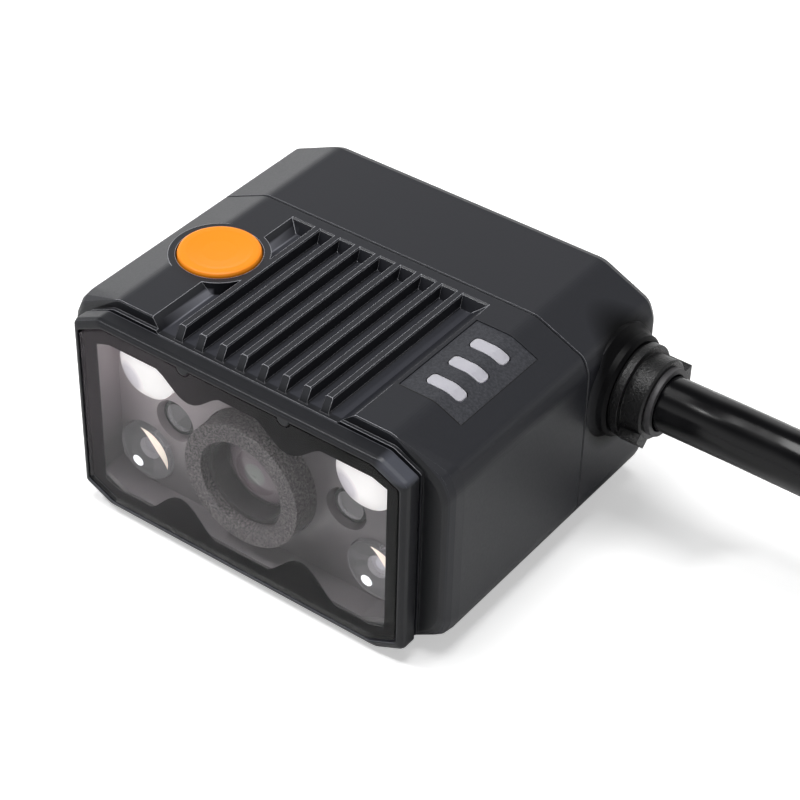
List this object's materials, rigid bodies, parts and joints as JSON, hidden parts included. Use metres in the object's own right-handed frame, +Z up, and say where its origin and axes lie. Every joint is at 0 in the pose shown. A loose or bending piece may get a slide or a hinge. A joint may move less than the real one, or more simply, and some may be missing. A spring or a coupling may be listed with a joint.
{
  "type": "fixed barcode reader",
  "caption": "Compact fixed barcode reader with a printed window over camera optics, a finned top, a push button, status lights and a side cable pigtail with a round plug.",
  "frame": {"origin": "Centre of the housing's flat bottom, on the plane that the reader stands on", "axes": "+Z up, the window faces -Y, the cable leaves the housing along +X"},
  "size_m": [0.1228, 0.1377, 0.0284],
  "materials": {
    "housing": "fine matt moulded grain",
    "bezel": "smooth satin moulding",
    "window": "clear polished acrylic",
    "print": "dark screen print behind the window",
    "seal": "matt black rubber",
    "steel": "plain steel",
    "brass": "turned brass",
    "optics": "grey moulded optic plate",
    "diffuser": "white diffusing moulding",
    "clear_lens": "clear moulded lens",
    "coated_lens": "coated glass with a purple sheen",
    "lens_metal": "black anodised, fine blasted grain",
    "black_plastic": "plain black moulding",
    "sensor": "image chip under its cover",
    "board": "green solder mask",
    "lamp": "lamp package",
    "socket": "pale connector moulding",
    "wire": "wire insulation",
    "button": "orange moulded cap with a fine satin grain",
    "light_pipe": "frosted clear light pipe",
    "label": "grained dark film",
    "collar": "finely grained black moulding",
    "end_ring": "pale ring moulding",
    "cable_jacket": "glossy black jacket",
    "green_seal": "matt rubber"
  },
  "bodies": {
    "reader": {"front_housing": "housing", "rear_cover": "housing", "housing_seal": "seal", "cover_screws": "steel", "mounting_inserts": "brass", "front_bezel": "bezel", "front_window": "window", "window_mask": "print", "window_seal": "seal", "bezel_seal": "seal", "optics_plate": "optics", "diffuser_domes": "diffuser", "illumination_lenses": "clear_lens", "aimer_modules": "black_plastic", "aimer_lenses": "clear_lens", "lens_hood": "lens_metal", "lens_barrel": "lens_metal", "lens_glass": "coated_lens", "lens_rear_glass": "clear_lens", "lens_mount": "lens_metal", "lens_mount_screws": "steel", "image_sensor": "sensor", "led_board": "board", "illumination_leds": "lamp", "led_board_screws": "steel", "sensor_board": "board", "main_board": "board", "front_spacers": "steel", "rear_spacers": "steel", "stack_screws": "steel", "processor_chips": "black_plastic", "cable_socket": "socket", "cable_wires": "wire", "top_board": "board", "top_board_screws": "steel", "button_switch": "black_plastic", "status_leds": "lamp", "status_light_pipes": "light_pipe", "indicator_label": "label", "gland_body": "collar", "gland_ring": "end_ring", "gland_nut": "steel", "gland_gasket": "seal", "cable": "cable_jacket", "connector_grip": "collar", "connector_shell": "steel", "connector_oring": "green_seal", "connector_insert": "black_plastic", "connector_pins": "brass"},
    "button": {"trigger_button": "button", "switch_plunger": "socket"}
  },
  "joints": [
    {"name": "button_press", "type": "slide", "parent": "reader", "child": "button", "axis": [0, 0, -1], "range_m": [0, 0.0005], "stiffness_N_per_m": 3000}
  ]
}
